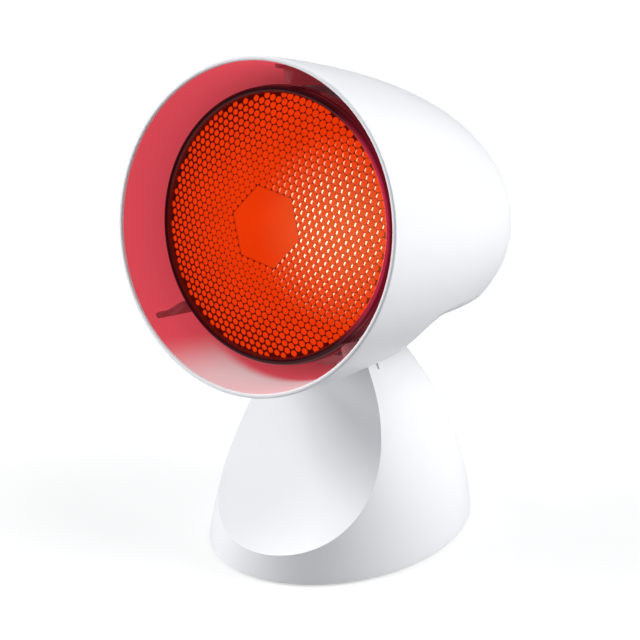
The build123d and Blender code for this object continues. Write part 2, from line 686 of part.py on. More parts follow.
def lower_cover():
    tub = (head_form(COVER_INSET) - head_form(COVER_INSET + COVER_WALL)) & head_cut(COVER_LAP)
    band = head_form(HEAD_WALL + COVER_GAP) - head_form(COVER_INSET + COVER_WALL / 2)
    band = band & (head_cut(COVER_FLANGE) - head_cut())
    half = COVER_BLOCK / 2
    tab = block((COVER_SCREW_X - half, -CUT_DROP, -COVER_SCREW_DEPTH - half),
                (HEAD_RADIUS, COVER_FLANGE - CUT_DROP, half - COVER_SCREW_DEPTH))
    tab = tab & head_form(HEAD_WALL + COVER_GAP)
    slot = block((-NECK_SLOT_HALF, -LARGE, -NECK_SLOT_BACK),
                 (NECK_SLOT_HALF, -CUT_DROP - COVER_RAIL, -NECK_SLOT_FRONT))
    wells = [place * upright(COVER_WELL, 0, LARGE) for place in cover_screw_places()]
    holes = [place * Cylinder(SCREW_HOLE, LARGE) for place in cover_screw_places()]
    cover = tub + band - slot - both_sides(cover_clearance()) + both_sides(tab) - wells - holes
    return head_place() * cover


def cover_clearance():
    """Room in the cover's rim for the head's screw block."""
    half = COVER_BLOCK / 2 + COVER_GAP
    bottom = COVER_FLANGE - CUT_DROP
    return block((COVER_SCREW_X - half, bottom, -COVER_SCREW_DEPTH - half),
                 (HEAD_RADIUS, bottom + COVER_BLOCK, half - COVER_SCREW_DEPTH))


def cover_screws():
    return [head_place() * piece for piece in screws(cover_screw_places())]


# ---- inside the head -----------------------------------------------------------------------
def shield_line():
    """The heat shield follows the bulb's reflector, SHIELD_GAP outside it."""
    line = [(radius + SHIELD_GAP, BULB_DEPTH + depth) for radius, depth in REFLECTOR_STATIONS[1:]]
    back = HOLDER_FRONT - SHIELD_THICKNESS
    front_radius = REFLECTOR_STATIONS[1][0] + SHIELD_GAP + (line[0][1] - SHIELD_FRONT) * 0.42
    return [(front_radius, SHIELD_FRONT)] + line + [(line[-1][0], back), (SHIELD_RING, back)]


def shield_screw_places():
    back = HOLDER_FRONT - SHIELD_THICKNESS
    return [Pos(x, 0, -back) for x in (-SHIELD_SCREW_X, SHIELD_SCREW_X)]


def heat_shield():
    dish = turned(strip(shield_line(), -SHIELD_THICKNESS))
    holes = [place * Cylinder(SCREW_HOLE, 4) for place in shield_screw_places()]
    return head_place() * (dish - holes)


def shield_screws():
    return [head_place() * piece for piece in screws(shield_screw_places(), SHORT_SCREW)]


def lampholder_body():
    body = along_axis(HOLDER_RADIUS, HOLDER_FRONT, HOLDER_BACK)
    body = fillet(body.edges().sort_by(Axis.Z)[0], 1.5)
    bore = along_axis(HOLDER_BORE, 0, BORE_END)
    front_pilots = [place * Cylinder(SCREW_HOLE, 2 * SHORT_SCREW + 3) for place in shield_screw_places()]
    back_pilots = [place * Cylinder(SCREW_HOLE, 2 * SCREW_LENGTH + 1) for place in holder_screw_places()]
    return head_place() * (body - bore - front_pilots - back_pilots)


def holder_screw_places():
    return [Location((x, 0, -CARRIER_BACK), (180, 0, 0)) for x in (-HOLDER_SCREW_X, HOLDER_SCREW_X)]


def holder_screws():
    return [head_place() * piece for piece in screws(holder_screw_places())]


def screw_shell():
    """The threaded cup in the lampholder that takes the bulb's cap."""
    floor = BORE_END - SHELL_WALL
    cup = turned([(SHELL_OUTSIDE, HOLDER_FRONT + 1), (SHELL_OUTSIDE, BORE_END), (8, BORE_END), (8, floor),
                  (SHELL_INSIDE, floor), (SHELL_INSIDE, HOLDER_FRONT + 1)])
    return head_place() * cup


def centre_contact():
    leaf = block((-CONTACT_HALF_WIDTH, -6, -BORE_END), (CONTACT_HALF_WIDTH, 6, CONTACT_THICKNESS - BORE_END))
    return head_place() * leaf


def hinge_ear():
    ear = across(EAR_RADIUS, EAR_INSIDE, EAR_OUTSIDE, -PIVOT_DROP, -PIVOT_DEPTH)
    ear = ear + block((EAR_INSIDE, -PIVOT_DROP, -PIVOT_DEPTH - EAR_RADIUS),
                      (EAR_OUTSIDE, -STRAP_DROP + STRAP_THICKNESS / 2, EAR_RADIUS - PIVOT_DEPTH))
    return ear - across(PIN_HOLE, 0, LARGE / 2, -PIVOT_DROP, -PIVOT_DEPTH)


def detents():
    """The groove the spring's nose runs in, and the deeper spots it clicks into."""
    middle = (-PIVOT_DROP, -PIVOT_DEPTH)
    outer = across(DETENT_RADIUS + DETENT_GROOVE_HALF, EAR_INSIDE - 1, EAR_INSIDE + DETENT_GROOVE, *middle)
    inner = across(DETENT_RADIUS - DETENT_GROOVE_HALF, EAR_INSIDE - 1, EAR_INSIDE + DETENT_GROOVE, *middle)
    spots = []
    for number in range(TILT_STOPS):
        turn = math.radians(REST_TILT + (number - 1) * TILT_STEP)
        y = DETENT_RADIUS * math.cos(turn) - PIVOT_DROP
        z = DETENT_RADIUS * math.sin(turn) - PIVOT_DEPTH
        spots.append(across(DETENT_SPOT, EAR_INSIDE - 1, EAR_INSIDE + DETENT_DEPTH, y, z))
    return [outer - inner] + spots


def lamp_carrier():
    line = [(-STRAP_DROP, STRAP_FRONT), (-STRAP_DROP, STRAP_BEND), (-CARRIER_DROP, STRAP_RISE_END),
            (-CARRIER_DROP, CARRIER_BACK), (CARRIER_TOP, CARRIER_BACK)]
    outline = [(0, y, -depth) for y, depth in strip(line, -STRAP_THICKNESS)]
    strap = extrude(make_face(Polyline(*outline, close=True)), STRAP_HALF_WIDTH, both=True, dir=(1, 0, 0))
    wings = block((-CARRIER_HALF_WIDTH, HEAD_BOSS_Y - CARRIER_WING_HALF_HEIGHT, -CARRIER_BACK),
                  (CARRIER_HALF_WIDTH, HEAD_BOSS_Y + CARRIER_WING_HALF_HEIGHT, -HOLDER_BACK))
    plate = strap + wings + both_sides(hinge_ear())
    holes = [place * Cylinder(SCREW_HOLE, 6) for place in head_screw_places() + holder_screw_places()]
    return head_place() * (plate - holes - detents())


def carrier_screws():
    return [head_place() * piece for piece in screws(head_screw_places(), SHORT_SCREW)]


# ---- bulb ----------------------------------------------------------------------------------
def bead_grid():
    """The middles of the lens's beads: close packed, with a plain hexagon left in the middle."""
    spots = []
    for place in HexLocations(BEAD_PITCH / 2, BEAD_ROWS, BEAD_ROWS):
        x, y = place.position.X, place.position.Y
        out = max(abs(x * math.cos(math.radians(turn)) + y * math.sin(math.radians(turn)))
                  for turn in (0, 60, 120))
        if out > WINDOW_HALF and math.hypot(x, y) < LENS_RADIUS - LENS_BAND - BEAD_HALF:
            spots.append((x, y))
    return spots


def lens_bead(ball, x, y):
    """A low six-sided bead, square to the lens's ball, its foot sunk into the glass."""
    foot = Pos(0, 0, ball - BEAD_SINK) * RegularPolygon(BEAD_HALF, 6, major_radius=False)
    top = Pos(0, 0, ball + BEAD_RISE) * RegularPolygon(BEAD_TOP_HALF, 6, major_radius=False)
    turn = math.degrees(math.atan2(y, x))
    lean = math.degrees(math.asin(math.hypot(x, y) / ball))
    return Rot(0, 0, turn) * Rot(0, lean, 0) * Rot(0, 0, -turn) * loft([foot, top])


def bulb_lens():
    ball = (LENS_RADIUS ** 2 + LENS_RISE ** 2) / (2 * LENS_RISE)
    back = BULB_DEPTH + GLASS_WALL
    middle = Pos(0, 0, -BULB_FRONT - ball)
    dome = along_axis(LENS_RADIUS, 0, back) & middle * Sphere(ball)
    inside = Pos(0, 0, -LENS_THICKNESS) * middle * Sphere(ball)
    beads = [middle * lens_bead(ball, x, y) for x, y in bead_grid()]
    return head_place() * (dome - inside + beads)


def bulb_reflector():
    seat = LENS_RADIUS + BULB_FIT / 2
    ledge = BULB_DEPTH + GLASS_WALL
    outside = [(BULB_RADIUS - 1, BULB_DEPTH), (BULB_RADIUS, BULB_DEPTH + 1.2),
               (BULB_RADIUS, BULB_DEPTH + BAND_WIDTH)]
    outside += [(radius, BULB_DEPTH + depth) for radius, depth in REFLECTOR_STATIONS]
    neck_end = CAP_FRONT - SKIRT_LENGTH
    outside += [(BULB_NECK_RADIUS, neck_end), (CAP_RADIUS, CAP_FRONT), (CAP_RADIUS - 1, CAP_FRONT),
                (CAP_RADIUS - 1, CAP_FRONT + GLASS_WALL)]
    inside = [(CAP_RADIUS - 4, CAP_FRONT + GLASS_WALL), (CAP_RADIUS - 4, CAP_FRONT - 1),
              (BULB_NECK_RADIUS - GLASS_WALL, neck_end)]
    inside += [(radius - GLASS_WALL, BULB_DEPTH + depth) for radius, depth in REFLECTOR_STATIONS[::-1]]
    inside += [(seat - GLASS_WALL, BULB_DEPTH + BAND_WIDTH), (seat - GLASS_WALL, ledge), (seat, ledge),
               (seat, BULB_DEPTH)]
    return head_place() * turned(outside + inside)


def bulb_screw_cap():
    inside = CAP_RADIUS - CAP_WALL
    cup = turned([(CAP_RADIUS, CAP_FRONT), (CAP_RADIUS, CAP_BACK), (CAP_HOLE_RADIUS, CAP_BACK),
                  (CAP_HOLE_RADIUS, CAP_BACK - CAP_WALL), (inside, CAP_BACK - CAP_WALL), (inside, CAP_FRONT)])
    return head_place() * cup


def cap_insulator():
    return head_place() * turned([(0, CAP_BACK), (INSULATOR_RADIUS, CAP_BACK),
                                  (INSULATOR_TIP_RADIUS, INSULATOR_BACK), (0, INSULATOR_BACK)])


def cap_contact():
    tip = [(0, INSULATOR_BACK), (TIP_RADIUS, INSULATOR_BACK), (TIP_RADIUS - TIP_TAPER, TIP_DEPTH),
           (0, TIP_DEPTH)]
    return head_place() * turned(tip)


def filament():
    near = BULB_DEPTH + FILAMENT_SETBACK
    ring = [(FILAMENT_RADIUS - FILAMENT_WIRE, near), (FILAMENT_RADIUS + FILAMENT_WIRE, near),
            (FILAMENT_RADIUS + FILAMENT_WIRE, near + 2 * FILAMENT_WIRE),
            (FILAMENT_RADIUS - FILAMENT_WIRE, near + 2 * FILAMENT_WIRE)]
    return head_place() * turned(ring)


def filament_stem():
    near = BULB_DEPTH + FILAMENT_SETBACK + 2 * FILAMENT_WIRE
    back = CAP_FRONT + GLASS_WALL
    foot = CAP_RADIUS - STEM_FOOT
    stem = turned([(0, back + 1), (foot, back + 1), (foot, back), (STEM_RADIUS, back),
                   (STEM_RADIUS, CAP_FRONT - STEM_SHOULDER), (STEM_TIP_RADIUS, CAP_FRONT - STEM_LENGTH),
                   (0, CAP_FRONT - STEM_LENGTH)])
    wires = [along_axis(SUPPORT_WIRE, near, CAP_FRONT, x) for x in (-FILAMENT_RADIUS, FILAMENT_RADIUS)]
    return head_place() * (stem + wires)


PIECES = {
    "base_shell": base_shell,
    "bottom_plate": bottom_plate,
    "foot_pads": foot_pads,
    "bottom_screws": bottom_screws,
    "ballast_plate": ballast_plate,
    "ballast_screws": ballast_screws,
    "terminal_block": terminal_block,
    "terminal_screws": terminal_screws,
    "block_screw": block_screw,
    "switch_housing": switch_housing,
    "switch_rocker": switch_rocker,
    "switch_terminals": switch_terminals,
    "cable_gland": cable_gland,
    "gland_nut": gland_nut,
    "neck_bracket": neck_bracket,
    "bracket_screws": bracket_screws,
    "tilt_pin": tilt_pin,
    "pin_nut": pin_nut,
    "friction_washer": friction_washer,
    "detent_spring": detent_spring,
    "head_shell": head_shell,
    "lower_cover": lower_cover,
    "cover_screws": cover_screws,
    "heat_shield": heat_shield,
    "shield_screws": shield_screws,
    "lampholder_body": lampholder_body,
    "holder_screws": holder_screws,
    "screw_shell": screw_shell,
    "centre_contact": centre_contact,
    "lamp_carrier": lamp_carrier,
    "carrier_screws": carrier_screws,
    "bulb_lens": bulb_lens,
    "bulb_reflector": bulb_reflector,
    "bulb_screw_cap": bulb_screw_cap,
    "cap_insulator": cap_insulator,
    "cap_contact": cap_contact,
    "filament": filament,
    "filament_stem": filament_stem,
}


def main():
    os.makedirs("parts", exist_ok=True)
    for name, make in PIECES.items():
        made = make()
        solids = made if isinstance(made, list) else made.solids()
        moved = [Pos(0, ORIGIN_Y, 0) * solid for solid in solids]
        piece = moved[0] if len(moved) == 1 else Compound(children=moved)
        piece.label = name
        export_step(piece, f"parts/{name}.step")


if __name__ == "__main__":
    main()
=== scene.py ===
import json
import math

import bmesh
import bpy
from bpy.props import FloatProperty, FloatVectorProperty, PointerProperty
from mathutils import Matrix, Vector


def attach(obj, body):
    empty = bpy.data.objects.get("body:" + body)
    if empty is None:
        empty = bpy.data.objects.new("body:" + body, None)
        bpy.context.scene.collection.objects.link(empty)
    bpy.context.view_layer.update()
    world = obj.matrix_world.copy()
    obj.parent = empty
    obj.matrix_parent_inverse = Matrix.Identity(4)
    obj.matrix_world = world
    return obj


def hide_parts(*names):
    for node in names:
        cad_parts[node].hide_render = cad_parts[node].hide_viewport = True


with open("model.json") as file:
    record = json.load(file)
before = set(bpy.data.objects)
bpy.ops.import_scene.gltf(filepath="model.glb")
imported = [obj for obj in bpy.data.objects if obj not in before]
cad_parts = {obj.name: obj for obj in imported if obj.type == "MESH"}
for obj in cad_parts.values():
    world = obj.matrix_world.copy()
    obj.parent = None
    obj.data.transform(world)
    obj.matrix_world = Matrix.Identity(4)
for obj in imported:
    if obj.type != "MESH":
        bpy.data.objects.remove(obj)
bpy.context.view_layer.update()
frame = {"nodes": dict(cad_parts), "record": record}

bl_info = {
    "name": "Infrared heat lamp",
    "version": (1, 0, 0),
    "blender": (4, 5, 0),
    "location": "3D Viewport > Sidebar > Heat lamp",
    "description": "Dresses the packed frame of a table-top infrared heat lamp",
    "category": "Object",
}

MM = 0.001

# The head's own frame: the middle of its rim, with Z out of the mouth along the lamp's axis.
TILT = math.radians(12.0)
RIM = Vector((0.0, -77.079, 166.817)) * MM
HEAD = Matrix.Translation(RIM) @ Matrix.Rotation(math.radians(90.0) - TILT, 4, "X")

# The egg's outside. At a share d of its length behind the rim, its radius is HEAD_RADIUS times
# (1 - d ** TAPER_POWER) ** (1 / ROUND_POWER), and its middle has sunk by TAIL_DROOP times
# d ** DROOP_POWER.
HEAD_RADIUS = 73.0 * MM
HEAD_LENGTH = 176.0 * MM
TAPER_POWER = 1.45
ROUND_POWER = 3.1
TAIL_DROOP = 8.3 * MM
DROOP_POWER = 4.0

# The mouth's plane leans, so its lower lip stands 3.4 mm further out than its upper one.
MOUTH_LEAN = 3.4 / 146.0

# Distances below which vertices are the same one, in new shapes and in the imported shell.
WELD = 1e-7
SHELL_WELD = 0.001 * MM
SHARP_ANGLE = math.radians(40.0)


# ---- sizes and colours ---------------------------------------------------------------------
def linear(code):
    """An sRGB hex colour as linear red, green, blue and alpha."""
    values = []
    for start in (1, 3, 5):
        value = int(code[start:start + 2], 16) / 255
        values.append(value / 12.92 if value <= 0.04045 else ((value + 0.055) / 1.055) ** 2.4)
    return (*values, 1.0)


def length(name, text, default):
    """A length property, with its default in millimetres."""
    return FloatProperty(name=name, description=text, default=default * MM, unit="LENGTH",
                         precision=5)


def angle(name, text, default):
    """An angle property, with its default in degrees."""
    return FloatProperty(name=name, description=text, default=math.radians(default),
                         subtype="ANGLE")


def colour(name, text, code):
    """A colour property, with its default as an sRGB hex colour."""
    return FloatVectorProperty(name=name, description=text, default=linear(code), size=4,
                               min=0.0, max=1.0, subtype="COLOR")


WHITE = "#F2F3F5"


class LampLens(bpy.types.PropertyGroup):
    radius: length("Radius", "Half the width of the lens", 57.5)
    rise: length("Rise", "How far the lens bulges at its middle", 8.2)
    front: length("Front", "How far the lens's middle lies behind the rim", 9.0)
    edge: length("Edge", "Thickness of the lens at its rim", 3.0)
    bead_pitch: length("Bead pitch", "Distance between the pressed beads", 3.38)
    bead_radius: length("Bead radius", "Half the width of a bead", 1.9)
    bead_height: length("Bead height", "How far a bead stands out", 0.5)
    rim: length("Rim", "How far the glass rim stands proud of the lens's edge", 2.8)
    rim_width: length("Rim width", "Width of the glass rim", 3.3)
    window: length("Window", "Middle to corner of the plain hexagon", 18.6)
    turn: angle("Turn", "Turn of the bead pattern about the lamp's axis", 21.5)
    glass: colour("Glass", "Colour of the glowing glass where it is thick", "#EE3804")
    gaps: colour("Gaps", "Colour of the glass between the beads", "#3C0402")


class LampShade(bpy.types.PropertyGroup):
    lip: length("Lip", "Depth of the rounded lip", 1.6)
    wall: length("Wall", "Thickness of the shade", 2.0)
    rounding: length("Rounding", "Radius of the lip's edges", 0.85)
    plastic: colour("Plastic", "Colour of the moulded plastic", WHITE)
    glow: colour("Glow", "Colour of the inside in the bulb's light", "#CC444F")
    pale: colour("Pale", "Colour of the inside where daylight reaches it", "#D2B2B4")


class LampStage(bpy.types.PropertyGroup):
    azimuth: angle("Azimuth", "Turn of the camera round the lamp", 35.18)
    elevation: angle("Elevation", "Height of the camera as an angle", 21.37)
    distance: length("Distance", "From the camera to the point it looks at", 900.0)
    focal: FloatProperty(name="Focal length", description="Lens of the camera in millimetres",
                         default=107.7)


# ---- helpers for objects and meshes --------------------------------------------------------
def show(name, data):
    """Links a new object that holds the given data."""
    thing = bpy.data.objects.new(name, data)
    bpy.context.scene.collection.objects.link(thing)
    return thing


def finish_piece(name, bm, material, body, replaces=()):
    """Turns a bmesh into a piece that rides on a body and takes the finish it is given."""
    mesh = bpy.data.meshes.new(name)
    bmesh.ops.recalc_face_normals(bm, faces=bm.faces)
    bm.to_mesh(mesh)
    bm.free()
    mesh.materials.append(material)
    for face in mesh.polygons:
        face.use_smooth = True
    mesh.set_sharp_from_angle(angle=SHARP_ANGLE)
    piece = show(name, mesh)
    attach(piece, body)
    if replaces:
        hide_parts(*replaces)


def spin_profile(bm, points, steps=96):
    """Turns a line of (radius, height) points about Z; a point on the axis closes the shape."""
    verts = [bm.verts.new((radius, 0.0, height)) for radius, height in points]
    edges = [bm.edges.new(pair) for pair in zip(verts, verts[1:])]
    bmesh.ops.spin(bm, geom=verts + edges, axis=(0, 0, 1), cent=(0, 0, 0), angle=2 * math.pi,
                   steps=steps, use_merge=True)
    bmesh.ops.remove_doubles(bm, verts=bm.verts, dist=WELD)


# ---- shape of the lens, for its meshes and its material ------------------------------------
def dome_ball(lens):
    """Radius of the ball that the lens's dome is cut from."""
    return (lens.radius ** 2 + lens.rise ** 2) / (2 * lens.rise)


def window_half(lens):
    """Half the width of the plain hexagon across its flats."""
    return lens.window * math.cos(math.radians(30.0))


def window_ways(turn=0.0):
    """The three directions across the plain hexagon's flats."""
    turns = [turn + math.radians(step) for step in (0.0, 60.0, 120.0)]
    return [Vector((math.cos(way), math.sin(way), 0.0)) for way in turns]


# ---- helpers for materials -----------------------------------------------------------------
def add(tree, kind, inputs=None, **own):
    """Adds one node: own settings by name, and inputs by name or number, set or linked."""
    node = tree.nodes.new(kind)
    for key, value in own.items():
        setattr(node, key, value)
    for key, value in (inputs or {}).items():
        if isinstance(value, bpy.types.NodeSocket):
            tree.links.new(value, node.inputs[key])
        else:
            node.inputs[key].default_value = value
    return node


def new_material(name, code, **sockets):
    """A material with one Principled shader; returns it with its tree and shader."""
    material = bpy.data.materials.new(name)
    material.use_nodes = True
    material.node_tree.nodes.clear()
    tree = material.node_tree
    shader = add(tree, "ShaderNodeBsdfPrincipled", {"Base Color": linear(code), **sockets})
    add(tree, "ShaderNodeOutputMaterial", {"Surface": shader.outputs[0]})
    return material, tree, shader


def grain(tree, shader, size, depth, roughness, spread):
    """A moulded, rolled or glazed surface: noise drives the roughness and a shallow bump. Most
    real grain is a tenth of a millimetre or finer and would not show, so the sizes given here,
    in millimetres, are as coarse as they need to be."""
    place = add(tree, "ShaderNodeTexCoord")
    noise = add(tree, "ShaderNodeTexNoise", {
        "Vector": place.outputs["Object"], "Scale": 1 / (size * MM), "Detail": 4.0,
        "Roughness": 0.55})
    rough = add(tree, "ShaderNodeMapRange", {
        "Value": noise.outputs[0], "To Min": roughness - spread, "To Max": roughness + spread})
    bump = add(tree, "ShaderNodeBump", {
        "Strength": 0.3, "Distance": depth * MM, "Height": noise.outputs[0]})
    tree.links.new(rough.outputs[0], shader.inputs["Roughness"])
    tree.links.new(bump.outputs[0], shader.inputs["Normal"])


def head_places(tree):
    """Places in the head's own frame: X across, Y up and Z out of the mouth."""
    place = add(tree, "ShaderNodeTexCoord")
    return add(tree, "ShaderNodeMapping", {
        "Vector": place.outputs["Object"], "Location": RIM,
        "Rotation": (math.radians(90.0) - TILT, 0.0, 0.0)}, vector_type="TEXTURE")


def from_axis(tree, local):
    """Places squashed flat across the lamp's axis, and how far they lie from it."""
    flat = add(tree, "ShaderNodeVectorMath", {0: local.outputs[0], 1: (1.0, 1.0, 0.0)},
               operation="MULTIPLY")
    return flat, add(tree, "ShaderNodeVectorMath", {0: flat.outputs[0]}, operation="LENGTH")


def soft_edge(tree, local, edge, low=0.0, high=1.0):
    """A smooth step along one way in the head's frame, between two distances in millimetres."""
    way, start, end = edge
    along = add(tree, "ShaderNodeVectorMath", {0: local.outputs[0], 1: way},
                operation="DOT_PRODUCT")
    return add(tree, "ShaderNodeMapRange", {
        "Value": along.outputs["Value"], "From Min": start * MM, "From Max": end * MM,
        "To Min": low, "To Max": high}, interpolation_type="SMOOTHSTEP")


# ---- white plastic -------------------------------------------------------------------------
# Grain of the white ABS, as grain() takes it.
WHITE_GRAIN = (1.6, 0.004, 0.32, 0.05)

# What the bulb lights inside the shade: from this far behind the mouth's plane to this far
# behind the rim, and only what lies so far in from the outside, the wall and the ribs on it.
LIT_FROM = 1.3 * MM
LIT_DEPTH = 59.0 * MM
WALL_INSET = 1.0 * MM
RIB_INSET = 2.7 * MM

# Daylight reaches the lower wall near the lip. A soft edge is a way, of length 1 or close to it,
# and two distances in millimetres.
PALE_LOW = ((0.26, -0.966, 0.0), 44.0, 66.0)
PALE_FRONT = ((0.03, 0.35, 1.0), -56.5, -46.0)

# The red light fades from the mouth inwards to this share, and the ribs lose this share of it.
# The lit inside has a dark base colour, so that the light of the room adds little to its glow.
FADE_INWARDS = ((0.0, 0.0, -1.0), 10.0, 90.0)
FADED = 0.16
RIB_LOSS = 0.72
LIT_BASE = "#6A2830"


def white_abs():
    """Injection-moulded white ABS, polished in the tool: an even cool white with a soft gloss."""
    material, tree, shader = new_material("white moulded ABS", WHITE, IOR=1.5)
    grain(tree, shader, *WHITE_GRAIN)
    return material


def shade_masks(tree, local):
    """Two masks from the egg's own formula: 1 on the inner wall, and 1 on what stands on it."""
    axes = add(tree, "ShaderNodeSeparateXYZ", {0: local.outputs[0]})
    share = add(tree, "ShaderNodeMath", {0: axes.outputs[2], 1: -1 / HEAD_LENGTH},
                operation="MULTIPLY")
    share = add(tree, "ShaderNodeMath", {0: share.outputs[0], 1: 0.0}, operation="MAXIMUM")
    taper = add(tree, "ShaderNodeMath", {0: share.outputs[0], 1: TAPER_POWER}, operation="POWER")
    rest = add(tree, "ShaderNodeMath", {0: 1.0, 1: taper.outputs[0]}, operation="SUBTRACT")
    rest = add(tree, "ShaderNodeMath", {0: rest.outputs[0], 1: 1 / ROUND_POWER}, operation="POWER")
    outer = add(tree, "ShaderNodeMath", {0: rest.outputs[0], 1: HEAD_RADIUS},
                operation="MULTIPLY")
    droop = add(tree, "ShaderNodeMath", {0: share.outputs[0], 1: DROOP_POWER}, operation="POWER")
    height = add(tree, "ShaderNodeMath", {
        0: droop.outputs[0], 1: TAIL_DROOP, 2: axes.outputs[1]}, operation="MULTIPLY_ADD")
    spot = add(tree, "ShaderNodeCombineXYZ", {0: axes.outputs[0], 1: height.outputs[0]})
    reach = add(tree, "ShaderNodeVectorMath", {0: spot.outputs[0]}, operation="LENGTH")
    inset = add(tree, "ShaderNodeMath", {0: outer.outputs[0], 1: reach.outputs["Value"]},
                operation="SUBTRACT")
    lean = add(tree, "ShaderNodeMath", {
        0: axes.outputs[1], 1: MOUTH_LEAN, 2: axes.outputs[2]}, operation="MULTIPLY_ADD")
    behind = add(tree, "ShaderNodeMath", {0: HEAD_RADIUS * MOUTH_LEAN, 1: lean.outputs[0]},
                 operation="SUBTRACT")
    past_lip = add(tree, "ShaderNodeMath", {0: behind.outputs[0], 1: LIT_FROM},
                   operation="GREATER_THAN")
    near = add(tree, "ShaderNodeMath", {0: share.outputs[0], 1: LIT_DEPTH / HEAD_LENGTH},
               operation="LESS_THAN")
    span = add(tree, "ShaderNodeMath", {0: past_lip.outputs[0], 1: near.outputs[0]},
               operation="MULTIPLY")
    masks = []
    for deep in (WALL_INSET, RIB_INSET):
        within = add(tree, "ShaderNodeMath", {0: inset.outputs[0], 1: deep},
                     operation="GREATER_THAN")
        masks.append(add(tree, "ShaderNodeMath", {0: within.outputs[0], 1: span.outputs[0]},
                         operation="MULTIPLY"))
    return masks


def shade_abs():
    """The same white ABS, which glows red inside the shade in the light of the bulb: a flat,
    strong red on the far wall, pale pink by the lower lip, and dimmer towards the back."""
    shade = bpy.context.scene.lamp_shade
    material, tree, shader = new_material("white moulded ABS with red-lit inside", WHITE, IOR=1.5)
    grain(tree, shader, *WHITE_GRAIN)
    local = head_places(tree)
    inside, ribs = shade_masks(tree, local)
    low = soft_edge(tree, local, PALE_LOW)
    front = soft_edge(tree, local, PALE_FRONT)
    pale = add(tree, "ShaderNodeMath", {0: low.outputs[0], 1: front.outputs[0]},
               operation="MULTIPLY")
    lit = add(tree, "ShaderNodeMix", {0: pale.outputs[0], 6: shade.glow, 7: shade.pale},
              data_type="RGBA")
    fade = soft_edge(tree, local, FADE_INWARDS, 1.0, FADED)
    dim = add(tree, "ShaderNodeMath", {0: ribs.outputs[0], 1: -RIB_LOSS, 2: 1.0},
              operation="MULTIPLY_ADD")
    share = add(tree, "ShaderNodeMath", {0: fade.outputs[0], 1: dim.outputs[0]},
                operation="MULTIPLY")
    glow = add(tree, "ShaderNodeMath", {0: share.outputs[0], 1: inside.outputs[0]},
               operation="MULTIPLY")
    base = add(tree, "ShaderNodeMix", {
        0: inside.outputs[0], 6: shade.plastic, 7: linear(LIT_BASE)}, data_type="RGBA")
    tree.links.new(base.outputs[2], shader.inputs["Base Color"])
    tree.links.new(lit.outputs[2], shader.inputs["Emission Color"])
    tree.links.new(glow.outputs[0], shader.inputs["Emission Strength"])
    return material


# ---- red glass -----------------------------------------------------------------------------
# The shade's left wall keeps the light off the left of the lens. Round this spot in the head's
# frame the lens sparkles and has a painted hazy sheen, a pale orange mixed into its glow that
# stands in for reflected light: each from a distance to a distance in millimetres, over which the
# coat's weight or the painted sheen's share falls from its most to nothing.
SPARKLE_MIDDLE = Vector((37.0, 4.0, 0.0)) * MM
SPARKLE = (6.0, 43.0, 0.48)
PAINTED_HAZE = (0.0, 44.0, 0.4)
# Colour of the painted sheen: a pale orange that stands in for reflected light.
PAINTED_HAZE_COLOUR = "#F48048"

# The glass goes from the gaps' colour to its own between these shares of a bead's height.
GLOW_START = 0.02
GLOW_FULL = 0.34

# Further out than this the gaps look wider: a spot counts as lower, by up to this share of a
# bead's height. That is full on the left of the soft edge, and this share of it on the right.
WIDER_FROM = 22.0 * MM
WIDER_SINK = 0.44
DARK_SIDE = ((-0.95, -0.3, 0.0), -40.0, 25.0)
DARK_LEAST = 0.2

# Slow unevenness of the pressed glass: its size, and the least share of the glow.
UNEVEN_SIZE = 14.0 * MM
UNEVEN_LEAST = 0.82

# The soft edge of the plain hexagon, inside and outside its flats.
WINDOW_IN = 0.6 * MM
WINDOW_OUT = 0.2 * MM

# The glass rim: its wavy grain as grain() takes it, its right side with painted light on it, and
# the front with the lens's orange light painted on it, on the side that ends so far outside the
# lens's edge.
RUBY_GRAIN = (6.0, 0.01, 0.14, 0.03)
RIM_LIT = ((0.97, 0.15, 0.0), 30.0, 56.0)
RIM_FRONT = ((0.0, 0.0, 1.0), -19.0, -17.5)
RIM_INNER_END = (0.5 * MM, 1.1 * MM)

# The painted magenta highlight along the rim's crest ends so far outside it.
RIM_HIGHLIGHT_END = (0.3 * MM, 1.0 * MM)
# Painted light and shade: the crest's highlight and the lit outside beyond it, the lens's orange
# light on the inner side, and darker shaded copies of both by the left wall.
RIM_CREST_HIGHLIGHT = "#B02444"
RIM_OUTSIDE_LIT = "#560A1A"
RIM_INNER_LIT = "#E0300C"
RIM_SHADED = "#140203"
RIM_INNER_SHADED = "#4A0A05"


def window_mask(tree, flat, lens):
    """1 on the plain hexagon in the lens's middle and 0 outside it, with a soft edge."""
    widest = 0.0
    for way in window_ways(lens.turn):
        across = add(tree, "ShaderNodeVectorMath", {0: flat.outputs[0], 1: way},
                     operation="DOT_PRODUCT")
        width = add(tree, "ShaderNodeMath", {0: across.outputs["Value"]}, operation="ABSOLUTE")
        widest = add(tree, "ShaderNodeMath", {0: widest, 1: width.outputs[0]},
                     operation="MAXIMUM").outputs[0]
    half = window_half(lens)
    return add(tree, "ShaderNodeMapRange", {
        "Value": widest, "From Min": half - WINDOW_IN, "From Max": half + WINDOW_OUT,
        "To Min": 1.0, "To Max": 0.0})


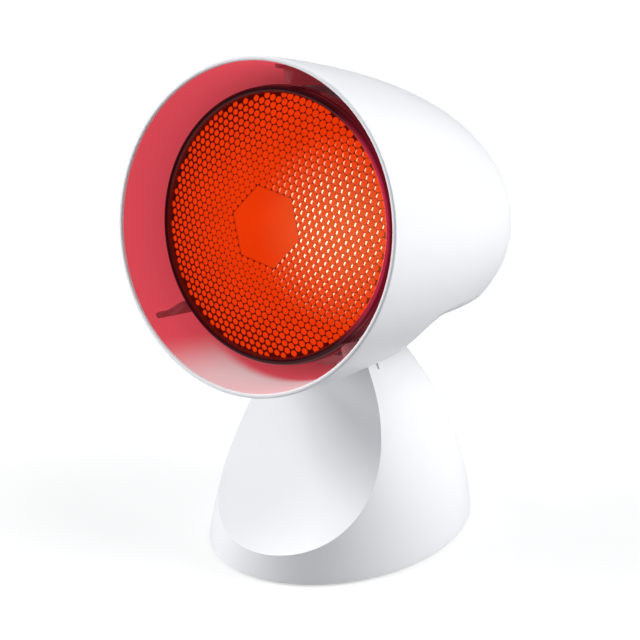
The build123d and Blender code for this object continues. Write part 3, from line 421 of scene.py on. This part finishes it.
def glass_thickness(tree, local, reach, lens):
    """0 in the gaps between the beads and 1 where a bead is thick."""
    ball = dome_ball(lens)
    out = add(tree, "ShaderNodeVectorMath", {
        0: local.outputs[0], 1: (0.0, 0.0, -lens.front - ball)}, operation="DISTANCE")
    outwards = add(tree, "ShaderNodeMapRange", {
        "Value": reach.outputs["Value"], "From Min": WIDER_FROM, "From Max": lens.radius})
    side = soft_edge(tree, local, DARK_SIDE, DARK_LEAST, 1.0)
    sink = add(tree, "ShaderNodeMath", {0: outwards.outputs[0], 1: side.outputs[0]},
               operation="MULTIPLY")
    height = add(tree, "ShaderNodeMath", {
        0: sink.outputs[0], 1: -WIDER_SINK * lens.bead_height, 2: out.outputs["Value"]},
        operation="MULTIPLY_ADD")
    return add(tree, "ShaderNodeMapRange", {
        "Value": height.outputs[0], "From Min": ball + GLOW_START * lens.bead_height,
        "From Max": ball + GLOW_FULL * lens.bead_height})


def filter_glass():
    """Pressed red filter glass, seen glowing: deep orange where it is thick and maroon in the gaps
    between the beads. The gloss is a coat whose weight follows the light that reaches it, and
    there a painted orange sheen stands in for reflected light."""
    lens = bpy.context.scene.lamp_lens
    material, tree, shader = new_material("pressed red filter glass", "#3A0A04", IOR=1.5, **{
        "Specular IOR Level": 0.0, "Coat Roughness": 0.12, "Emission Strength": 1.0})
    local = head_places(tree)
    flat, reach = from_axis(tree, local)
    away = add(tree, "ShaderNodeVectorMath", {0: flat.outputs[0], 1: SPARKLE_MIDDLE},
               operation="DISTANCE")
    gloss, painted_haze = (add(tree, "ShaderNodeMapRange", {
        "Value": away.outputs["Value"], "From Min": start * MM, "From Max": end * MM,
        "To Min": most, "To Max": 0.0}, interpolation_type="SMOOTHSTEP")
        for start, end, most in (SPARKLE, PAINTED_HAZE))
    thick = glass_thickness(tree, local, reach, lens)
    window = window_mask(tree, flat, lens)
    share = add(tree, "ShaderNodeMath", {0: window.outputs[0], 1: thick.outputs[0]},
                operation="MAXIMUM")
    noise = add(tree, "ShaderNodeTexNoise", {
        "Vector": local.outputs[0], "Scale": 1 / UNEVEN_SIZE, "Detail": 2.0})
    tone = add(tree, "ShaderNodeMapRange", {
        "Value": noise.outputs[0], "To Min": UNEVEN_LEAST, "To Max": 1.0})
    share = add(tree, "ShaderNodeMath", {0: share.outputs[0], 1: tone.outputs[0]},
                operation="MULTIPLY")
    glow = add(tree, "ShaderNodeMix", {0: share.outputs[0], 6: lens.gaps, 7: lens.glass},
               data_type="RGBA")
    # Painted highlight: round the sparkle the glow is mixed towards a pale orange that stands in
    # for reflected light.
    glow = add(tree, "ShaderNodeMix", {
        0: painted_haze.outputs[0], 6: glow.outputs[2], 7: linear(PAINTED_HAZE_COLOUR)}, data_type="RGBA")
    tree.links.new(gloss.outputs[0], shader.inputs["Coat Weight"])
    tree.links.new(glow.outputs[2], shader.inputs["Emission Color"])
    return material


def rim_glass():
    """The bulb's pressed rim: thick ruby glass, with painted light and shade in its glow: nearly
    black by the left wall, a painted magenta highlight where the light catches it on the right,
    and orange-red on the side that faces the lens, painted in the lens's light."""
    lens = bpy.context.scene.lamp_lens
    material, tree, shader = new_material("ruby glass rim", "#2C080C", IOR=1.5, **{
        "Specular IOR Level": 0.3, "Emission Strength": 1.0})
    grain(tree, shader, *RUBY_GRAIN)
    local = head_places(tree)
    lit = soft_edge(tree, local, RIM_LIT)
    reach = from_axis(tree, local)[1]
    inner = add(tree, "ShaderNodeMapRange", {
        "Value": reach.outputs["Value"], "From Min": lens.radius + RIM_INNER_END[0],
        "From Max": lens.radius + RIM_INNER_END[1], "To Min": 1.0, "To Max": 0.0})
    front = soft_edge(tree, local, RIM_FRONT)
    inner = add(tree, "ShaderNodeMath", {0: inner.outputs[0], 1: front.outputs[0]},
                operation="MULTIPLY")
    crest = lens.radius + lens.rim_width / 2
    past_crest = add(tree, "ShaderNodeMapRange", {
        "Value": reach.outputs["Value"], "From Min": crest + RIM_HIGHLIGHT_END[0],
        "From Max": crest + RIM_HIGHLIGHT_END[1]})
    # Painted highlight: a magenta line on the lit side's crest, with darker magenta beyond it.
    magenta = add(tree, "ShaderNodeMix", {
        0: past_crest.outputs[0], 6: linear(RIM_CREST_HIGHLIGHT), 7: linear(RIM_OUTSIDE_LIT)},
        data_type="RGBA")
    bright = add(tree, "ShaderNodeMix", {
        0: inner.outputs[0], 6: magenta.outputs[2], 7: linear(RIM_INNER_LIT)}, data_type="RGBA")
    # Painted shade: the same two places by the left wall, nearly black and dark orange.
    dark = add(tree, "ShaderNodeMix", {
        0: inner.outputs[0], 6: linear(RIM_SHADED), 7: linear(RIM_INNER_SHADED)}, data_type="RGBA")
    glow = add(tree, "ShaderNodeMix", {
        0: lit.outputs[0], 6: dark.outputs[2], 7: bright.outputs[2]}, data_type="RGBA")
    tree.links.new(glow.outputs[2], shader.inputs["Emission Color"])
    return material


# ---- finishes of the frame -----------------------------------------------------------------
# Each CAD slot gets the finish of the real part: its name, its colour, its grain as grain()
# takes it, and settings of its shader.
FINISHES = {
    # Moulded thermoplastics: a faint spark-eroded texture gives them a dull, even sheen.
    "black_plastic": ("black moulded polyamide", "#141517", (0.8, 0.01, 0.42, 0.06),
                      {"IOR": 1.53}),
    "grey_plastic": ("grey moulded polypropylene", "#8A8C8E", (0.9, 0.012, 0.5, 0.06),
                     {"IOR": 1.49}),
    "acetal": ("natural acetal washer", "#DEDCD2", (0.7, 0.004, 0.35, 0.05), {"IOR": 1.48}),
    # Rubber: dull and slightly dusty.
    "rubber": ("black moulded rubber", "#1A1A1B", (0.6, 0.02, 0.8, 0.08), {"IOR": 1.52}),
    # Metals: plated, rolled, spun or drawn, with broad and slightly uneven reflections.
    "zinc_steel": ("zinc-plated steel", "#B9BCC0", (0.9, 0.004, 0.32, 0.08), {"Metallic": 1.0}),
    "ballast_steel": ("black-oxide steel plate", "#35373A", (1.5, 0.02, 0.55, 0.08),
                      {"Metallic": 0.9}),
    "spring_steel": ("spring steel", "#9C9A92", (0.7, 0.004, 0.3, 0.06), {"Metallic": 1.0}),
    "aluminium": ("spun aluminium", "#C9CBCD", (1.2, 0.006, 0.3, 0.08), {"Metallic": 1.0}),
    "brass": ("drawn brass", "#C8A050", (0.8, 0.004, 0.28, 0.08), {"Metallic": 1.0}),
    "tungsten": ("tungsten wire", "#5A5B5E", (0.3, 0.004, 0.4, 0.06), {"Metallic": 1.0}),
    # Fired and glassy parts: smooth, with sharp highlights.
    "ceramic": ("glazed steatite ceramic", "#ECEAE0", (2.0, 0.01, 0.22, 0.05), {"IOR": 1.55}),
    "black_glass": ("black vitrite glass", "#0B0B0D", (1.0, 0.004, 0.15, 0.04), {"IOR": 1.52}),
    "clear_glass": ("clear stem glass", "#DDE6E6", (3.0, 0.004, 0.06, 0.02),
                    {"IOR": 1.5, "Transmission Weight": 0.9}),
}


def plain_finish(name, code, texture, sockets):
    material, tree, shader = new_material(name, code, **sockets)
    grain(tree, shader, *texture)
    return material


class HEATLAMP_OT_finishes(bpy.types.Operator):
    """Gives every part of the frame the finish of its slot"""
    bl_idname = "heatlamp.finishes"
    bl_label = "Finishes"

    def execute(self, context):
        made = {slot: plain_finish(*finish) for slot, finish in FINISHES.items()}
        made["white_plastic"] = white_abs()
        made["red_glass"] = filter_glass()
        made["dark_red_glass"] = rim_glass()
        for entry in frame["record"]["subparts"]:
            node = frame["nodes"][entry["node"]]
            node.data.materials.clear()
            node.data.materials.append(made[entry["material_slot"]])
        return {"FINISHED"}


# ---- shade ---------------------------------------------------------------------------------
class HEATLAMP_OT_shade(bpy.types.Operator):
    """Builds the shade with its rounded lip"""
    bl_idname = "heatlamp.shade"
    bl_label = "Shade"

    def execute(self, context):
        shade = context.scene.lamp_shade
        material = shade_abs()
        bm = bmesh.new()
        bm.from_mesh(frame["nodes"]["head_shell"].data)
        bmesh.ops.remove_doubles(bm, verts=bm.verts, dist=SHELL_WELD)
        outwards = HEAD.to_3x3() @ Vector((0, MOUTH_LEAN, 1)).normalized()
        bmesh.ops.bisect_plane(
            bm, geom=bm.verts[:] + bm.edges[:] + bm.faces[:], dist=WELD, clear_outer=True,
            plane_co=HEAD @ Vector((0, HEAD_RADIUS, -shade.lip)), plane_no=outwards)
        cut = [edge for edge in bm.edges if edge.is_boundary]
        bmesh.ops.bridge_loops(bm, edges=cut)
        finish_piece("shade", bm, material, "head", ["head_shell"])
        bm = bmesh.new()
        spin_profile(bm, self.lip_profile(shade), steps=192)
        # Shears the flat lip into the mouth's leaning plane.
        lean = Matrix.Translation((0, 0, HEAD_RADIUS * MOUTH_LEAN))
        lean[2][1] = -MOUTH_LEAN
        bmesh.ops.transform(bm, matrix=HEAD @ lean, verts=bm.verts)
        finish_piece("shade_lip", bm, material, "head")
        return {"FINISHED"}

    def lip_profile(self, shade):
        """The lip's closed outline: flat at the back, with both front edges rounded."""
        outer, inner, round_off = HEAD_RADIUS, HEAD_RADIUS - shade.wall, shade.rounding
        points = [(outer, -shade.lip)]
        for start, middle in ((0.0, outer - round_off), (90.0, inner + round_off)):
            for step in range(7):
                turn = math.radians(start + 15.0 * step)
                points.append((middle + round_off * math.cos(turn),
                               round_off * (math.sin(turn) - 1)))
        return points + [(inner, -shade.lip), (outer, -shade.lip)]


# ---- lens ----------------------------------------------------------------------------------
# A bead's profile is cut at these shares of its radius, and its height falls with their cube. Its
# foot sinks a little into the dome. Its middle stays inside the lens's edge by this share of its
# radius or more.
BEAD_SHARES = (0.0, 0.3, 0.55, 0.78, 1.0)
BEAD_SINK = 0.02 * MM
BEAD_MARGIN = 0.3

# How far the glass rim reaches in over the lens's edge, and down past its foot.
RIM_OVERLAP = 0.1 * MM
RIM_FOOT = 0.4 * MM


class HEATLAMP_OT_lens(bpy.types.Operator):
    """Builds the domed lens with its beads and its rim"""
    bl_idname = "heatlamp.lens"
    bl_label = "Lens"

    def execute(self, context):
        lens = context.scene.lamp_lens
        glass = bpy.data.materials["pressed red filter glass"]
        ruby = bpy.data.materials["ruby glass rim"]
        for build, name, material, slot, replaces in (
                (self.body, "lens_body", glass, "red_glass", ["bulb_lens"]),
                (self.beads, "lens_beads", glass, "red_glass", []),
                (self.rim, "lens_rim", ruby, "dark_red_glass", [])):
            bm = bmesh.new()
            build(bm, lens)
            bmesh.ops.transform(bm, matrix=HEAD, verts=bm.verts)
            finish_piece(name, bm, material, "bulb", replaces)
        return {"FINISHED"}

    def body(self, bm, lens):
        """The smooth dome, closed by a flat back."""
        ball = dome_ball(lens)
        back = lens.front + lens.rise + lens.edge
        stations = [lens.radius * step / 24 for step in range(25)]
        dome = [(r, -lens.front - ball + math.sqrt(ball ** 2 - r ** 2)) for r in stations]
        spin_profile(bm, dome + [(lens.radius, -back), (0.0, -back)])

    def rim(self, bm, lens):
        """The rounded glass rim round the lens."""
        foot = -lens.front - lens.rise
        inner, half = lens.radius - RIM_OVERLAP, lens.rim_width / 2
        crest = foot + lens.rim - half
        points = [(inner, foot - RIM_FOOT)]
        for step in range(9):
            turn = math.radians(180.0 - 22.5 * step)
            points.append((inner + half + half * math.cos(turn), crest + half * math.sin(turn)))
        points += [(inner + lens.rim_width, foot - RIM_FOOT), points[0]]
        spin_profile(bm, points, steps=128)

    def one_bead(self, lens):
        """One bead on a flat floor, as a mesh."""
        bead = bmesh.new()
        spin_profile(bead, [
            (lens.bead_radius * share, lens.bead_height * (1 - share ** 3) - BEAD_SINK)
            for share in BEAD_SHARES], steps=10)
        mesh = bpy.data.meshes.new("bead")
        bead.to_mesh(mesh)
        bead.free()
        return mesh

    def beads(self, bm, lens):
        """Close-packed beads on the dome, all round the plain hexagon."""
        bead = self.one_bead(lens)
        ball = dome_ball(lens)
        middle = Matrix.Translation((0, 0, -lens.front - ball))
        half, ways = window_half(lens), window_ways()
        count = int(lens.radius / lens.bead_pitch) + 2
        pattern = Matrix.Rotation(lens.turn, 3, "Z")
        for row in range(-2 * count, 2 * count + 1):
            for column in range(-2 * count, 2 * count + 1):
                spot = Vector((column * lens.bead_pitch * math.sqrt(3) / 2,
                               (row + column / 2) * lens.bead_pitch, 0))
                outside = spot.length > lens.radius - BEAD_MARGIN * lens.bead_radius
                if outside or max(abs(spot.dot(way)) for way in ways) < half:
                    continue
                old = len(bm.verts)
                bm.from_mesh(bead)
                bm.verts.ensure_lookup_table()
                spot = pattern @ spot
                spot.z = math.sqrt(ball ** 2 - spot.length_squared)
                lean = Vector((0, 0, 1)).rotation_difference(spot).to_matrix().to_4x4()
                bmesh.ops.transform(bm, matrix=middle @ Matrix.Translation(spot) @ lean,
                                    verts=bm.verts[old:])
        bpy.data.meshes.remove(bead)


# ---- stage ---------------------------------------------------------------------------------
# The lamp's middle, which the lights face, and the point that the camera looks at.
MIDDLE = Vector((0.0, 0.0, 0.1))
AIM = Vector((-12.9, -8.83, 100.0)) * MM
LIGHT_DISTANCE = 1.4
FLOOR_RADIUS = 4.0

# The camera sees an even white, this strong. Near the lamp only this share of it is left and the
# rest is shaded paper; over this span, in metres from the lamp's middle, the share rises to 1.
PAPER_GLOW = 1.06
GLOW_BY_LAMP = 0.6
SHADOW_SPAN = (0.15, 0.5)

# The light of the sky that the lamp gets, and the white that the camera sees instead.
SKY = "#2C3242"
BACKDROP = "#FFFFFF"

# Soft lights: name, degrees round from the camera (right is positive), degrees up, width and
# height in metres, watts, whether it lights matt surfaces and whether it shows in gloss. The one
# that lights no matt surface is warm, reaches only the lens and makes its beads sparkle.
STUDIO = (
    ("left front", -80.0, 35.0, 0.5, 0.5, 7.7, True, False),
    ("left side", -115.0, 40.0, 0.5, 0.5, 8.4, True, False),
    ("left low", -85.0, 8.0, 0.5, 0.5, 6.9, True, False),
    ("right side", 90.0, 30.0, 0.5, 0.5, 9.6, True, True),
    ("right high", 60.0, 65.0, 0.5, 0.5, 3.7, True, False),
    ("right front", 70.0, 50.0, 0.8, 0.8, 4.0, True, False),
    ("right back", 115.0, 30.0, 0.8, 0.8, 5.0, True, True),
    ("right low", 80.0, 5.0, 0.5, 0.5, 2.7, True, False),
    ("lens sparkle", -88.0, 13.0, 0.7, 0.9, 230.0, False, True),
)
SPARKLE_LIGHT = "#FFDDB8"


def direction(azimuth, elevation):
    """From the lamp towards a viewer or a light; azimuth 0 is in front of the lamp."""
    level = math.cos(elevation)
    return Vector((math.sin(azimuth) * level, -math.cos(azimuth) * level, math.sin(elevation)))


class HEATLAMP_OT_stage(bpy.types.Operator):
    """Sets the floor, the studio lights and the camera"""
    bl_idname = "heatlamp.stage"
    bl_label = "Stage"

    def execute(self, context):
        self.floor()
        self.lights()
        self.camera(context.scene.lamp_stage)
        return {"FINISHED"}

    def floor(self):
        bm = bmesh.new()
        bmesh.ops.create_circle(bm, cap_ends=True, segments=64, radius=FLOOR_RADIUS)
        mesh = bpy.data.meshes.new("floor")
        bm.to_mesh(mesh)
        bm.free()
        floor = show("floor", mesh)
        mesh.materials.append(self.paper())

    def paper(self):
        """White paper that the camera sees evenly lit, with only the lamp's own soft shadow on
        it. The lamp gets the light of a grey paper."""
        material, tree, shader = new_material("white studio paper", "#B4B4B4", Roughness=0.9)
        path = add(tree, "ShaderNodeLightPath")
        glow = add(tree, "ShaderNodeEmission", {
            "Color": linear("#FFFFFF"), "Strength": PAPER_GLOW})
        matt = add(tree, "ShaderNodeBsdfDiffuse", {"Color": linear("#F4F4F4")})
        place = add(tree, "ShaderNodeTexCoord")
        far = add(tree, "ShaderNodeVectorMath", {0: place.outputs["Object"]}, operation="LENGTH")
        share = add(tree, "ShaderNodeMapRange", {
            "Value": far.outputs["Value"], "From Min": SHADOW_SPAN[0],
            "From Max": SHADOW_SPAN[1], "To Min": GLOW_BY_LAMP, "To Max": 1.0},
            interpolation_type="SMOOTHSTEP")
        seen = add(tree, "ShaderNodeMixShader", {
            0: share.outputs[0], 1: matt.outputs[0], 2: glow.outputs[0]})
        both = add(tree, "ShaderNodeMixShader", {
            0: path.outputs["Is Camera Ray"], 1: shader.outputs[0], 2: seen.outputs[0]})
        output = next(node for node in tree.nodes if node.type == "OUTPUT_MATERIAL")
        tree.links.new(both.outputs[0], output.inputs["Surface"])
        return material

    def lights(self):
        world = bpy.data.worlds.new("studio")
        bpy.context.scene.world = world
        world.use_nodes = True
        tree = world.node_tree
        path = add(tree, "ShaderNodeLightPath")
        sky = add(tree, "ShaderNodeMix", {
            0: path.outputs["Is Camera Ray"], 6: linear(SKY), 7: linear(BACKDROP)},
            data_type="RGBA")
        tree.links.new(sky.outputs[2], tree.nodes["Background"].inputs[0])
        bpy.context.scene.view_settings.view_transform = "Standard"
        for light in STUDIO:
            self.panel(*light)

    def panel(self, name, azimuth, elevation, width, height, power, matt, gloss):
        """A flat soft light, at an angle round the lamp from the camera's side and one above the
        table."""
        lamp = bpy.data.lights.new(name, "AREA")
        lamp.shape = "RECTANGLE"
        lamp.size = width
        lamp.size_y = height
        lamp.energy = power
        holder = show(name, lamp)
        turn = bpy.context.scene.lamp_stage.azimuth + math.radians(azimuth)
        away = direction(turn, math.radians(elevation))
        holder.location = MIDDLE + away * LIGHT_DISTANCE
        holder.rotation_euler = away.to_track_quat("Z", "Y").to_euler()
        holder.visible_diffuse = matt
        holder.visible_glossy = gloss
        if not matt:
            glass = bpy.data.collections.new(name)
            for piece in ("lens_body", "lens_beads"):
                glass.objects.link(bpy.data.objects[piece])
            holder.light_linking.receiver_collection = glass
            lamp.color = linear(SPARKLE_LIGHT)[:3]

    def camera(self, stage):
        camera = bpy.data.cameras.new("camera")
        camera.sensor_width = 36.0
        camera.lens = stage.focal
        camera.clip_start = 0.05
        holder = show("camera", camera)
        back = direction(stage.azimuth, stage.elevation)
        holder.location = AIM + back * stage.distance
        holder.rotation_euler = (-back).to_track_quat("-Z", "Y").to_euler()
        bpy.context.scene.camera = holder


# ---- panel and registration ----------------------------------------------------------------
GROUPS = {"lamp_shade": LampShade, "lamp_lens": LampLens, "lamp_stage": LampStage}
OPERATORS = (HEATLAMP_OT_finishes, HEATLAMP_OT_shade, HEATLAMP_OT_lens, HEATLAMP_OT_stage)


class HEATLAMP_PT_panel(bpy.types.Panel):
    bl_idname = "HEATLAMP_PT_panel"
    bl_label = "Heat lamp"
    bl_space_type = "VIEW_3D"
    bl_region_type = "UI"
    bl_category = "Heat lamp"

    def draw(self, context):
        for operator in OPERATORS:
            self.layout.operator(operator.bl_idname)
        for key in GROUPS:
            group = getattr(context.scene, key)
            box = self.layout.box()
            for name in group.__annotations__:
                box.prop(group, name)


def register():
    for kind in (*GROUPS.values(), *OPERATORS, HEATLAMP_PT_panel):
        bpy.utils.register_class(kind)
    for name, kind in GROUPS.items():
        setattr(bpy.types.Scene, name, PointerProperty(type=kind))


def unregister():
    for name in GROUPS:
        delattr(bpy.types.Scene, name)
    for kind in (HEATLAMP_PT_panel, *OPERATORS, *GROUPS.values()):
        bpy.utils.unregister_class(kind)


def main():
    register()
    bpy.ops.heatlamp.finishes()
    bpy.ops.heatlamp.shade()
    bpy.ops.heatlamp.lens()
    bpy.ops.heatlamp.stage()


if __name__ == "__main__":
    main()
